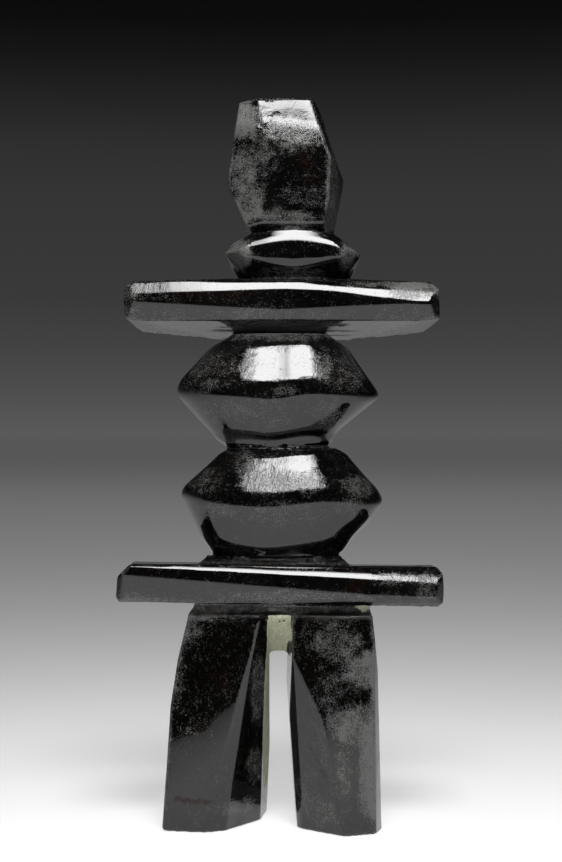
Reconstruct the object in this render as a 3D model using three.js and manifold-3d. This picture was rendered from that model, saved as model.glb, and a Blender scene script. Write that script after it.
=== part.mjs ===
// An inukshuk, a figure of piled stones, carved from one block of dark polished stone: two legs
// under a hip slab, two barrel-shaped stones, an arm slab, a flat neck stone and a head.
// Lengths are in millimetres and angles in degrees. The figure faces -Y, +Z is up, and the
// origin is on the ground under the middle of the figure's bounding box.
import * as THREE from "three";
import { ConvexGeometry } from "three/addons/geometries/ConvexGeometry.js";
import { ConvexHull } from "three/addons/math/ConvexHull.js";
import { mergeVertices } from "three/addons/utils/BufferGeometryUtils.js";
import Module from "manifold-3d";

// Heights, in the order in which the stones are piled
const LEG_HEIGHT = 99.5;
const HIP_GROOVE = 4.5;
const HIP_HEIGHT = 18.6;
const WAIST_FLARE = 2.4;
const LOWER_BARREL_HEIGHT = 51;
const UPPER_BARREL_HEIGHT = 53;
const ARM_HEIGHT = 27;
const NECK_HEIGHT = 23;
const HEAD_HEIGHT = 62.2;

// Widths along X and depths along Y
const LEFT_LEG_WIDTH = 48;
const LEFT_LEG_DEPTH = 54;
const RIGHT_LEG_WIDTH = 42.6;
const RIGHT_LEG_DEPTH = 62;
const HIP_WIDTH = 150;
const HIP_DEPTH = 50;
const HIP_NECK_WIDTH = 83;
const HIP_NECK_DEPTH = 42;
const WAIST_WIDTH = 74;
const WAIST_DEPTH = 46;
const LOWER_BARREL_WIDTH = 94.4;
const LOWER_BARREL_DEPTH = 60;
const UPPER_BARREL_WIDTH = 94.8;
const UPPER_BARREL_DEPTH = 58;
const ARM_WIDTH = 145.4;
const ARM_DEPTH = 51;
const NECK_WIDTH = 63.6;
const NECK_DEPTH = 41;
const HEAD_WIDTH = 54;
const HEAD_DEPTH = 38;

// The web between the legs, from its flat underside at the front and the back to its keel
const WEB_WIDTH = 20;
const WEB_DROP = 19;
const WEB_KEEL = 9;

// How deep a stone sinks into the one under it
const SINK = 2;

// The X and Y of each stone's axis, from a line up through the middle of the figure's back
const LEFT_LEG_AXIS = [-29.5, 3];
const RIGHT_LEG_AXIS = [24.7, 0];
const WEB_AXIS = [-1, 3];
const HIP_NECK_AXIS = [0.3, 3];
const HIP_AXIS = [-0.4, 0];
const WAIST_AXIS = [-3.5, 0];
const LOWER_BARREL_AXIS = [0.4, 0];
const UPPER_BARREL_AXIS = [-1.3, 0];
const ARM_AXIS = [0.2, 0];
const NECK_AXIS = [5.4, 0];
const HEAD_AXIS = [2.2, 0];

// The breadth of a worn, a crisp or a fine edge on each of the two faces that meet in it
const WORN_EDGE = 3.2;
const CRISP_EDGE = 1.8;
const FINE_EDGE = 1.0;

// How much further a blunt edge is eased, and the bend, in radians, up to which an edge is blunt
const BLUNT_EASE = 3;
const BLUNT_BEND = 0.5;

// Flats along a worn edge, and faces round and along a stone that is ground round
const EDGE_FLATS = 3;
const FACES_ROUND = 40;
const FACES_ALONG = 24;
const FACES_ALONG_FLARE = 4;

// Corners nearer than this are one corner
const CORNER_MERGE = 0.05;
const WELD = 1e-4;

const radians = THREE.MathUtils.degToRad;

const wasm = await Module();
wasm.setup();

function solidOf(geometry) {
  geometry.deleteAttribute("normal");
  geometry.deleteAttribute("uv");
  const merged = mergeVertices(geometry, WELD);
  return new wasm.Manifold(
    new wasm.Mesh({
      numProp: 3,
      vertProperties: merged.attributes.position.array,
      triVerts: new Uint32Array(merged.index.array),
    }),
  );
}

// The hull of the points at normal / distance, seen from a middle inside all of the planes. Its
// faces stand for the corners of the solid between the planes, and its edges for the edges.
function dualHull(planes, middle) {
  const duals = planes.map(({ normal, distance }) =>
    normal.clone().divideScalar(distance - normal.dot(middle)),
  );
  return { duals, hull: new ConvexHull().setFromPoints(duals) };
}

// Flats that ease the edge between two planes over `breadth` on each side of it. A blunt edge,
// between faces that almost make one, is eased further.
function edgeFlats(one, other, breadth) {
  const bend = one.normal.distanceTo(other.normal);
  const band = breadth * bend * (1 + BLUNT_EASE * Math.max(0, 1 - bend / BLUNT_BEND));
  const flats = [];
  for (let i = 1; i <= EDGE_FLATS; i++) {
    const t = i / (EDGE_FLATS + 1);
    const normal = one.normal.clone().lerp(other.normal, t);
    const distance = (1 - t) * one.distance + t * other.distance - band * t * (1 - t);
    const length = normal.length();
    flats.push({ normal: normal.divideScalar(length), distance: distance / length });
  }
  return flats;
}

// A stone ground to flat faces, from its base at z = 0. A row is [turn, tilt, reach, level]: the
// face looks `turn` round from the front towards +X and `tilt` up, and passes through the point
// that is `reach` half sizes out from the stone's axis and `level` of its height up.
function groundStone({ width, depth, height, edge, faces }) {
  const planes = [
    { normal: new THREE.Vector3(0, 0, -1), distance: 0 },
    { normal: new THREE.Vector3(0, 0, 1), distance: height },
  ];
  for (const [turn, tilt, reach, level] of faces) {
    const side = new THREE.Vector3(Math.sin(radians(turn)), -Math.cos(radians(turn)), 0);
    const half = reach * Math.hypot((side.x * width) / 2, (side.y * depth) / 2);
    const normal = side.clone().multiplyScalar(Math.cos(radians(tilt)));
    normal.z = Math.sin(radians(tilt));
    planes.push({ normal, distance: normal.dot(side) * half + normal.z * level * height });
  }

  const BASE = 0;
  const middle = new THREE.Vector3(0, 0, height / 2);
  const { duals, hull } = dualHull(planes, middle);
  const number = new Map(duals.map((point, i) => [point, i]));
  const pairs = new Set();
  for (const face of hull.faces) {
    let side = face.edge;
    do {
      const ends = [number.get(side.tail().point), number.get(side.head().point)];
      if (BASE < ends[0] && ends[0] < ends[1]) pairs.add(ends.join());
      side = side.next;
    } while (side !== face.edge);
  }
  const flats = [...pairs].flatMap((pair) => {
    const [i, j] = pair.split(",").map(Number);
    return edgeFlats(planes[i], planes[j], edge);
  });

  const corners = [];
  for (const face of dualHull([...planes, ...flats], middle).hull.faces) {
    const corner = face.normal.clone().divideScalar(face.constant).add(middle);
    if (corners.every((kept) => kept.distanceTo(corner) > CORNER_MERGE)) corners.push(corner);
  }
  return new ConvexGeometry(corners);
}

// A broken line through [at, value] rows, its corners eased over `width` each way.
function easedLine(rows, at, width) {
  const value = (t) => {
    const i = rows.findIndex(([end]) => t <= end);
    if (i < 0) return rows[rows.length - 1][1];
    if (i === 0) return rows[0][1];
    const [t0, v0] = rows[i - 1];
    const [t1, v1] = rows[i];
    return v0 + ((v1 - v0) * (t - t0)) / (t1 - t0);
  };
  const steps = [-1, -0.5, 0, 0.5, 1];
  return steps.reduce((sum, step) => sum + value(at + step * width), 0) / steps.length;
}

// A stone ground round, from its base at z = 0. The rows of each side are [level, reach], and
// `roundness` is 2 for an elliptical plan and more for a squarer one.
function roundStone({ width, depth, height, roundness, along, left, right, front, back }) {
  const corner = (u) => Math.sign(u) * Math.abs(u) ** (2 / roundness);
  const points = [];
  for (let ring = 0; ring <= along; ring++) {
    const level = ring / along;
    const reach = (rows) => easedLine(rows, level, CRISP_EDGE / height);
    for (let k = 0; k < FACES_ROUND; k++) {
      const turn = (2 * Math.PI * (k + 0.5)) / FACES_ROUND;
      const x = corner(Math.cos(turn));
      const y = corner(Math.sin(turn));
      points.push([
        (x * reach(x < 0 ? left : right) * width) / 2,
        (y * reach(y < 0 ? front : back) * depth) / 2,
        level * height,
      ]);
    }
  }
  points.push([0, 0, 0], [0, 0, height]);

  const index = [];
  const at = (ring, k) => ring * FACES_ROUND + (k % FACES_ROUND);
  for (let k = 0; k < FACES_ROUND; k++) {
    for (let ring = 0; ring < along; ring++) {
      index.push(at(ring, k), at(ring, k + 1), at(ring + 1, k + 1));
      index.push(at(ring, k), at(ring + 1, k + 1), at(ring + 1, k));
    }
    index.push(points.length - 2, at(0, k + 1), at(0, k));
    index.push(points.length - 1, at(along, k), at(along, k + 1));
  }
  const geometry = new THREE.BufferGeometry();
  geometry.setAttribute("position", new THREE.Float32BufferAttribute(points.flat(), 3));
  geometry.setIndex(index);
  return geometry;
}

const leftLeg = groundStone({
  width: LEFT_LEG_WIDTH, depth: LEFT_LEG_DEPTH, height: LEG_HEIGHT, edge: FINE_EDGE,
  faces: [
    [-92, 2.6, 0.985, 0], [-92, 8, 0.82, 0.67], [-92, 13.5, 0.58, 0.957],
    [-11, 3.5, 1.0, 0], [2, 2.56, 1.1012, 0], [22, -5, 0.84, 0], [54, -7.96, 0.658, 0],
    [82, -3.3, 0.82, 0], [88, 0, 0.98, 0],
    [180, 2, 1.0, 0], [-140, 3, 1.12, 0], [140, 2, 1.16, 0],
  ],
});

const rightLeg = groundStone({
  width: RIGHT_LEG_WIDTH, depth: RIGHT_LEG_DEPTH, height: LEG_HEIGHT, edge: FINE_EDGE,
  faces: [
    [-89, -4, 0.82, 0], [-87, 1.8, 1.01, 0.55], [-60, -4.63, 0.88, 0], [-38, -4.94, 0.789, 0],
    [-16, 6.78, 1.167, 0], [3, 3.6, 1.0, 0], [20, 0, 1.018, 0],
    [73, 0.5, 1.14, 0], [91, 1.6, 1.02, 0], [91, 6.5, 0.92, 0.75],
    [180, 2, 0.95, 0], [140, 3, 1.06, 0], [-140, 2, 1.1, 0],
  ],
});

const hipSlab = groundStone({
  width: HIP_WIDTH, depth: HIP_DEPTH, height: HIP_HEIGHT + SINK, edge: FINE_EDGE,
  faces: [
    [168, 86.8, 0, 0.927], [-90, -88.9, 0, 0.095],
    [2.6, 42.6, 0.885, 0.9], [1.9, 32, 0.941, 0.8], [0.4, 9, 1.0, 0.55], [-1, -8, 1.0, 0.5],
    [0, -42, 0.9, 0.1],
    [180, 3, 1.0, 0.6], [180, -40, 0.92, 0.15], [180, 50, 0.85, 0.92],
    [-90, 4, 1.0, 0.5], [-90, 45, 0.98, 0.78], [-90, -42, 0.98, 0.15],
    [90, 4, 1.0, 0.55], [90, 38, 0.978, 0.86], [90, -4, 1.0, 0.3], [90, -50, 0.975, 0.05],
    [-45, 0, 1.22, 0.5], [45, 0, 1.22, 0.5], [-135, 0, 1.22, 0.5], [135, 0, 1.22, 0.5],
  ],
});

const hipNeck = groundStone({
  width: HIP_NECK_WIDTH, depth: HIP_NECK_DEPTH, height: HIP_GROOVE + 2 * SINK, edge: WORN_EDGE,
  faces: [
    [0, -4, 0.97, 0.5], [180, -3, 1.0, 0.5], [-90, 10, 1.0, 0.5], [90, 3, 1.0, 0.5],
    [-45, 0, 1.25, 0], [45, 0, 1.25, 0], [-135, 0, 1.25, 0], [135, 0, 1.25, 0],
  ],
});

const flare = [[0, 0.98], [0.3, 0.93], [1, 0.86]];
const waist = roundStone({
  width: WAIST_WIDTH, depth: WAIST_DEPTH, height: WAIST_FLARE + SINK,
  roundness: 3, along: FACES_ALONG_FLARE,
  left: flare, right: flare, front: [[0, 0.86], [0.3, 0.8], [1, 0.76]], back: flare,
});

const lowerBarrel = roundStone({
  width: LOWER_BARREL_WIDTH, depth: LOWER_BARREL_DEPTH, height: LOWER_BARREL_HEIGHT,
  roundness: 2.6, along: FACES_ALONG,
  left: [
    [0, 0.68], [0.05, 0.7], [0.14, 0.8], [0.4, 0.945], [0.52, 1.01], [0.6, 0.985], [0.97, 0.6], [1, 0.5],
  ],
  right: [
    [0, 0.53], [0.06, 0.62], [0.2, 0.73], [0.35, 0.89], [0.52, 1.01], [0.62, 0.96], [0.97, 0.62], [1, 0.5],
  ],
  front: [[0, 0.6], [0.06, 0.64], [0.16, 0.8], [0.5, 1.01], [0.61, 0.985], [0.97, 0.63], [1, 0.5]],
  back: [[0, 0.62], [0.08, 0.68], [0.16, 0.8], [0.52, 1.01], [0.62, 0.98], [0.96, 0.6], [1, 0.5]],
});

const upperBarrel = roundStone({
  width: UPPER_BARREL_WIDTH, depth: UPPER_BARREL_DEPTH, height: UPPER_BARREL_HEIGHT,
  roundness: 2.6, along: FACES_ALONG,
  left: [
    [0, 0.5], [0.06, 0.62], [0.12, 0.66], [0.43, 0.99], [0.5, 1.01], [0.59, 0.97], [0.9, 0.655], [1, 0.45],
  ],
  right: [[0, 0.48], [0.06, 0.54], [0.14, 0.58], [0.45, 1.0], [0.5, 0.99], [0.9, 0.68], [1, 0.48]],
  front: [
    [0, 0.55], [0.08, 0.56], [0.13, 0.665], [0.42, 1.0], [0.5, 0.995], [0.6, 0.935], [0.92, 0.6], [1, 0.5],
  ],
  back: [[0, 0.56], [0.08, 0.6], [0.14, 0.7], [0.44, 1.01], [0.55, 0.98], [0.92, 0.6], [1, 0.5]],
});

const armSlab = groundStone({
  width: ARM_WIDTH, depth: ARM_DEPTH, height: ARM_HEIGHT, edge: FINE_EDGE,
  faces: [
    [0, 55, 0.888, 0.935], [5, 46.2, 0.933, 0.9],
    [-0.75, 27.5, 0.981, 0.755], [0.8, 27.5, 0.98, 0.755],
    [3, 27.1, 1.0, 0.755], [0, 6, 1.0, 0.5], [-1.5, -20, 1.002, 0.456], [1.4, -20, 1.002, 0.456],
    [0, -81.4, 1.0, 0.28], [-64, -83, 1.0, 0.25], [62, -82.6, 1.0, 0.25],
    [-90, 88.4, 0.5, 0.98], [90, 88.4, 0.5, 0.98],
    [180, 2, 1.0, 0.5], [180, 48, 0.85, 0.87], [180, -40, 0.97, 0.1],
    [-90, 3, 1.0, 0.6], [-90, -6, 1.0, 0.6], [-90, 45, 0.985, 0.85], [-90, -40, 0.98, 0.3],
    [90, 2, 1.0, 0.6], [90, -3, 1.005, 0.5], [90, 45, 0.98, 0.85], [90, -45, 0.985, 0.25],
    [-45, 0, 1.21, 0.5], [45, 0, 1.21, 0.5], [-135, 0, 1.21, 0.5], [135, 0, 1.21, 0.5],
  ],
});

const neckStone = groundStone({
  width: NECK_WIDTH, depth: NECK_DEPTH, height: NECK_HEIGHT + SINK, edge: CRISP_EDGE,
  faces: [
    [-90, 43, 1.0, 0.63], [-90, 66, 0.6, 0.97], [-90, -21, 1.01, 0.62], [-90, -35, 0.9, 0.3],
    [90, 43, 1.0, 0.54], [90, 58, 0.56, 0.99], [90, -18, 1.0, 0.5], [90, -28, 0.94, 0.32],
    [0, 27, 0.97, 0.75], [0, 8, 1.0, 0.6], [0, -22, 1.0, 0.59], [-4, -42, 0.883, 0.352],
    [4, -42, 0.883, 0.352],
    [180, 46, 0.9, 0.75], [180, 4, 1.0, 0.6], [180, -31, 1.0, 0.4],
    [-50, 45, 1.2, 0.6], [45, 40, 1.2, 0.6], [-130, 45, 1.1, 0.6], [130, 45, 1.1, 0.6],
    [-50, -20, 1.12, 0.5], [50, -16, 1.12, 0.5], [-130, -25, 1.1, 0.5], [130, -25, 1.1, 0.5],
  ],
});

const head = groundStone({
  width: HEAD_WIDTH, depth: HEAD_DEPTH, height: HEAD_HEIGHT + SINK, edge: FINE_EDGE,
  faces: [
    [-90, 8, 0.99, 0.43], [-90, -4, 1.0, 0.41], [-90, -24, 0.96, 0.31], [-90, -40, 0.75, 0.09],
    [-90, 50, 0.78, 0.97], [-90, 80, 0.4, 1.0],
    [80, 19.4, 0.842, 0.6], [70, -1.5, 0.984, 0.5], [72, -11, 0.972, 0.32], [105, 12, 0.975, 0.5],
    [105, -12, 0.97, 0.32], [90, 52, 0.56, 0.98],
    [-20, 3, 0.99, 0.4], [-2, 4, 0.98, 0.4], [0, 16, 0.932, 0.621], [1.5, 25, 0.76, 0.802],
    [-16, 20.8, 0.87, 0.8],
    [0, -7, 1.0, 0.2], [0, -50, 0.9, 0.06],
    [180, 5, 1.0, 0.45], [180, -8, 1.0, 0.25], [180, 40, 0.8, 0.85], [180, -50, 0.93, 0.08],
    [-150, 3, 1.1, 0.4], [150, 4, 1.1, 0.4],
  ],
});

// The bases of the stones, piled up one by one
const HIP_BASE = LEG_HEIGHT + HIP_GROOVE;
const WAIST_BASE = HIP_BASE + HIP_HEIGHT;
const LOWER_BARREL_BASE = WAIST_BASE + WAIST_FLARE;
const UPPER_BARREL_BASE = LOWER_BARREL_BASE + LOWER_BARREL_HEIGHT;
const ARM_BASE = UPPER_BARREL_BASE + UPPER_BARREL_HEIGHT - SINK;
const NECK_BASE = ARM_BASE + ARM_HEIGHT;
const HEAD_BASE = NECK_BASE + NECK_HEIGHT;

function placed(geometry, axis, base) {
  geometry.translate(...axis, base);
  return solidOf(geometry);
}

// The web between the legs: its underside drops from the front and the back to a keel.
function web() {
  const depth = HIP_NECK_DEPTH - WORN_EDGE;
  const profile = new THREE.Shape([
    new THREE.Vector2(-depth / 2, HIP_GROOVE),
    new THREE.Vector2(-depth / 2, 0),
    new THREE.Vector2(-WEB_KEEL / 2, -WEB_DROP),
    new THREE.Vector2(WEB_KEEL / 2, -WEB_DROP),
    new THREE.Vector2(depth / 2, 0),
    new THREE.Vector2(depth / 2, HIP_GROOVE),
  ]);
  const block = new THREE.ExtrudeGeometry(profile, { depth: WEB_WIDTH, bevelEnabled: false });
  block.translate(0, 0, -WEB_WIDTH / 2);
  block.rotateX(Math.PI / 2);
  block.rotateZ(Math.PI / 2);
  return placed(block, WEB_AXIS, LEG_HEIGHT);
}

const stones = [
  placed(leftLeg, LEFT_LEG_AXIS, 0),
  placed(rightLeg, RIGHT_LEG_AXIS, 0),
  placed(hipNeck, HIP_NECK_AXIS, LEG_HEIGHT - SINK),
  placed(hipSlab, HIP_AXIS, HIP_BASE - SINK),
  placed(waist, WAIST_AXIS, WAIST_BASE - SINK),
  placed(lowerBarrel, LOWER_BARREL_AXIS, LOWER_BARREL_BASE),
  placed(upperBarrel, UPPER_BARREL_AXIS, UPPER_BARREL_BASE),
  placed(armSlab, ARM_AXIS, ARM_BASE),
  placed(neckStone, NECK_AXIS, NECK_BASE - SINK),
  placed(head, HEAD_AXIS, HEAD_BASE - SINK),
  web(),
];
const figure = stones.reduce((all, stone) => all.add(stone));
const mesh = figure.getMesh();
const geometry = new THREE.BufferGeometry();
geometry.setAttribute("position", new THREE.BufferAttribute(mesh.vertProperties, 3));
geometry.setIndex(new THREE.BufferAttribute(mesh.triVerts, 1));
geometry.computeBoundingBox();
const centre = geometry.boundingBox.getCenter(new THREE.Vector3());
geometry.translate(-centre.x, -centre.y, -geometry.boundingBox.min.z);
geometry.computeVertexNormals();

const stone = new THREE.MeshStandardMaterial({ color: 0x14171a, roughness: 0.12, metalness: 0 });
const inukshuk = new THREE.Mesh(geometry, stone);
inukshuk.name = "inukshuk";

const group = new THREE.Group();
group.add(inukshuk);
export default group;
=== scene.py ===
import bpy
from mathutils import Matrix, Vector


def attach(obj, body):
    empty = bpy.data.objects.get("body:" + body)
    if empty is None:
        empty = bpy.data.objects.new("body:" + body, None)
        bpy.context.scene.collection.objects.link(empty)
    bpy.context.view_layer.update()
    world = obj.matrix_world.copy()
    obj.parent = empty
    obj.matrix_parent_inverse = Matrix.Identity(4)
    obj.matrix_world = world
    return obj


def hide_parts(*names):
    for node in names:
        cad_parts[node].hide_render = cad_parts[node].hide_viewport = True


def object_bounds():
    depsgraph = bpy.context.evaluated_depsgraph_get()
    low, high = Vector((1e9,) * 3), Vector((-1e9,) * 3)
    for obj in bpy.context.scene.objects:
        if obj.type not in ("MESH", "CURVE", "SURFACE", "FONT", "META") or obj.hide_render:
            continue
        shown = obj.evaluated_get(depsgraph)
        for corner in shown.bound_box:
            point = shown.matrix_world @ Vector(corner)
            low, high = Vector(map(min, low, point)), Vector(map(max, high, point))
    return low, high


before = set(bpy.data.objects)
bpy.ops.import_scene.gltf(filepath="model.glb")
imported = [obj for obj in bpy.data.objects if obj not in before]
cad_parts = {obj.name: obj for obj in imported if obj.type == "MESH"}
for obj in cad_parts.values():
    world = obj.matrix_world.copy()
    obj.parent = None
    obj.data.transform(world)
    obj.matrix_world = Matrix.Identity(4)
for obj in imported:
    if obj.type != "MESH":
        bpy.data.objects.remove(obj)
CAD_BOX = [list(corner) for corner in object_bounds()]

import math

import bmesh
import bpy
import numpy as np
from bpy.props import FloatProperty, FloatVectorProperty, PointerProperty
from mathutils import Vector

bl_info = {
    "name": "Inukshuk Carving",
    "version": (1, 0, 0),
    "blender": (4, 5, 0),
    "location": "View3D > Sidebar > Inukshuk",
    "description": "A figure of piled stones, carved from one block of dark polished stone",
    "category": "Add Mesh",
}

# The figure's lengths are in millimetres and its angles in degrees, up to the mesh's last step.
MM = 0.001

# From the stones' common line to the middle of the figure's box
FIGURE_SHIFT = (0.517, 0.357)

# How far a stone is sunk into the one below, and where each stands
SINK = 2.0
LEG_HEIGHT = 99.5
HIP_BASE = 104.0
WAIST_BASE = 122.6
LOWER_BARREL_BASE = 125.0
UPPER_BARREL_BASE = 176.0
ARM_BASE = 227.0
NECK_BASE = 254.0
HEAD_BASE = 277.0

WEB_DROP = 19.0
WEB_BASE = LEG_HEIGHT - WEB_DROP
WEB_LEVEL = 0.8085

# How widely edges are eased, and how much more so where two faces meet bluntly
WORN_EDGE = 3.2
CRISP_EDGE = 1.8
FINE_EDGE = 1.0
TOP_EDGE = 0.3
COVERED_STONES = ("left_leg", "right_leg", "neck_stone")
BLUNT_EASE = 3.0
BLUNT_BEND = 0.5

# Each stone stands on its own base at z = 0, and its axis is at x = y = 0. A row of its faces is
# (turn, tilt, reach, level): the face looks `turn` round from the front towards +X and `tilt` up,
# through the point `reach` half sizes out and `level` of the height up.
GROUND_STONES = {
    "left_leg": {
        "axis": (-29.5, 3), "base": 0, "size": (48, 54, LEG_HEIGHT), "edge": FINE_EDGE,
        "faces": [
            (-92, 2.6, 0.985, 0), (-92, 8, 0.82, 0.67), (-92, 13.5, 0.58, 0.957),
            (-11, 3.5, 1.0, 0), (2, 2.56, 1.1012, 0), (22, -5, 0.84, 0), (54, -7.96, 0.658, 0),
            (82, -3.3, 0.82, 0), (88, 0, 0.98, 0),
            (180, 2, 1.0, 0), (-140, 3, 1.12, 0), (140, 2, 1.16, 0),
        ],
    },
    "right_leg": {
        "axis": (24.7, 0), "base": 0, "size": (42.6, 62, LEG_HEIGHT), "edge": FINE_EDGE,
        "faces": [
            (-89, -4, 0.82, 0), (-87, 1.8, 1.01, 0.55), (-60, -4.63, 0.88, 0), (-38, -4.94, 0.789, 0),
            (-16, 6.78, 1.167, 0), (3, 3.6, 1.0, 0), (20, 0, 1.018, 0),
            (73, 0.5, 1.14, 0), (91, 1.6, 1.02, 0), (91, 6.5, 0.92, 0.75),
            (180, 2, 0.95, 0), (140, 3, 1.06, 0), (-140, 2, 1.1, 0),
        ],
    },
    "web": {
        "axis": (-1, 3), "base": WEB_BASE, "size": (20, 38.8, 23.5), "edge": WORN_EDGE, "fillet": 4.0,
        "faces": [
            (-90, 0, 1, 0.5), (90, 0, 1, 0.5), (0, 0, 1, 0.9), (180, 0, 1, 0.9),
            (0, -38.1, 1, WEB_LEVEL), (180, -38.1, 1, WEB_LEVEL),
        ],
    },
    "hip_neck": {
        "axis": (0.3, 3), "base": LEG_HEIGHT - SINK, "size": (83, 42, 8.5), "edge": WORN_EDGE,
        "faces": [
            (0, -4, 0.97, 0.5), (180, -3, 1.0, 0.5), (-90, 10, 1.0, 0.5), (90, 3, 1.0, 0.5),
            (-45, 0, 1.25, 0), (45, 0, 1.25, 0), (-135, 0, 1.25, 0), (135, 0, 1.25, 0),
        ],
    },
    "hip_slab": {
        "axis": (-0.4, 0), "base": HIP_BASE - SINK, "size": (150, 50, 20.6), "edge": FINE_EDGE,
        "faces": [
            (168, 86.8, 0, 0.927), (-90, -88.9, 0, 0.095),
            (2.6, 42.6, 0.885, 0.9), (1.9, 32, 0.941, 0.8), (0.4, 9, 1.0, 0.55), (-1, -8, 1.0, 0.5),
            (0, -42, 0.9, 0.1),
            (180, 3, 1.0, 0.6), (180, -40, 0.92, 0.15), (180, 50, 0.85, 0.92),
            (-90, 4, 1.0, 0.5), (-90, 45, 0.98, 0.78), (-90, -42, 0.98, 0.15),
            (90, 4, 1.0, 0.55), (90, 38, 0.978, 0.86), (90, -4, 1.0, 0.3), (90, -50, 0.975, 0.05),
            (-45, 0, 1.22, 0.5), (45, 0, 1.22, 0.5), (-135, 0, 1.22, 0.5), (135, 0, 1.22, 0.5),
        ],
    },
    "arm_slab": {
        "axis": (0.2, 0), "base": ARM_BASE, "size": (145.4, 51, 27), "edge": FINE_EDGE,
        "faces": [
            (0, 55, 0.888, 0.935), (5, 46.2, 0.933, 0.9),
            (-0.75, 27.5, 0.981, 0.755), (0.8, 27.5, 0.98, 0.755),
            (3, 27.1, 1.0, 0.755), (0, 6, 1.0, 0.5), (-1.5, -20, 1.002, 0.456),
            (1.4, -20, 1.002, 0.456),
            (0, -81.4, 1.0, 0.28), (-64, -83, 1.0, 0.25), (62, -82.6, 1.0, 0.25),
            (-90, 88.4, 0.5, 0.98), (90, 88.4, 0.5, 0.98),
            (180, 2, 1.0, 0.5), (180, 48, 0.85, 0.87), (180, -40, 0.97, 0.1),
            (-90, 3, 1.0, 0.6), (-90, -6, 1.0, 0.6), (-90, 45, 0.985, 0.85), (-90, -40, 0.98, 0.3),
            (90, 2, 1.0, 0.6), (90, -3, 1.005, 0.5), (90, 45, 0.98, 0.85), (90, -45, 0.985, 0.25),
            (-45, 0, 1.21, 0.5), (45, 0, 1.21, 0.5), (-135, 0, 1.21, 0.5), (135, 0, 1.21, 0.5),
        ],
    },
    "neck_stone": {
        "axis": (5.4, 0), "base": NECK_BASE - SINK, "size": (63.6, 41, 25), "edge": CRISP_EDGE,
        "lens": (13.0, 0.85),
        "faces": [
            (-90, 43, 1.0, 0.63), (-90, 66, 0.6, 0.97), (-90, -21, 1.01, 0.62), (-90, -35, 0.9, 0.3),
            (90, 43, 1.0, 0.54), (90, 58, 0.56, 0.99), (90, -18, 1.0, 0.5), (90, -28, 0.94, 0.32),
            (0, 27, 0.97, 0.75), (0, 8, 1.0, 0.6), (0, -22, 1.026, 0.45), (-4, -42, 0.993, 0.352),
            (4, -42, 0.993, 0.352),
            (180, 46, 0.9, 0.75), (180, 4, 1.0, 0.6), (180, -31, 1.0, 0.4),
            (-50, 45, 1.2, 0.6), (45, 40, 1.2, 0.6), (-130, 45, 1.1, 0.6), (130, 45, 1.1, 0.6),
            (-50, -20, 1.12, 0.5), (50, -16, 1.12, 0.5), (-130, -25, 1.1, 0.5), (130, -25, 1.1, 0.5),
        ],
    },
    "head": {
        "axis": (2.2, 0), "base": HEAD_BASE - SINK, "size": (54, 38, 64.2), "edge": FINE_EDGE,
        "faces": [
            (-90, 8, 0.99, 0.43), (-90, -4, 1.0, 0.41), (-90, -24, 0.96, 0.31), (-90, -40, 0.75, 0.09),
            (-90, 50, 0.78, 0.97), (-90, 80, 0.4, 1.0),
            (80, 19.4, 0.842, 0.6), (70, -1.5, 0.984, 0.5), (72, -11, 0.972, 0.32), (105, 12, 0.975, 0.5),
            (105, -12, 0.97, 0.32), (90, 52, 0.56, 0.98),
            (-20, 3, 0.99, 0.4), (-2, 4, 0.98, 0.4), (0, 16, 0.932, 0.621), (1.5, 25, 0.76, 0.802),
            (-16, 20.8, 0.87, 0.8),
            (0, -7, 1.0, 0.2), (0, -50, 0.9, 0.06),
            (180, 5, 1.0, 0.45), (180, -8, 1.0, 0.25), (180, 40, 0.8, 0.85), (180, -50, 0.93, 0.08),
            (-150, 3, 1.1, 0.4), (150, 4, 1.1, 0.4),
        ],
    },
}

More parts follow.
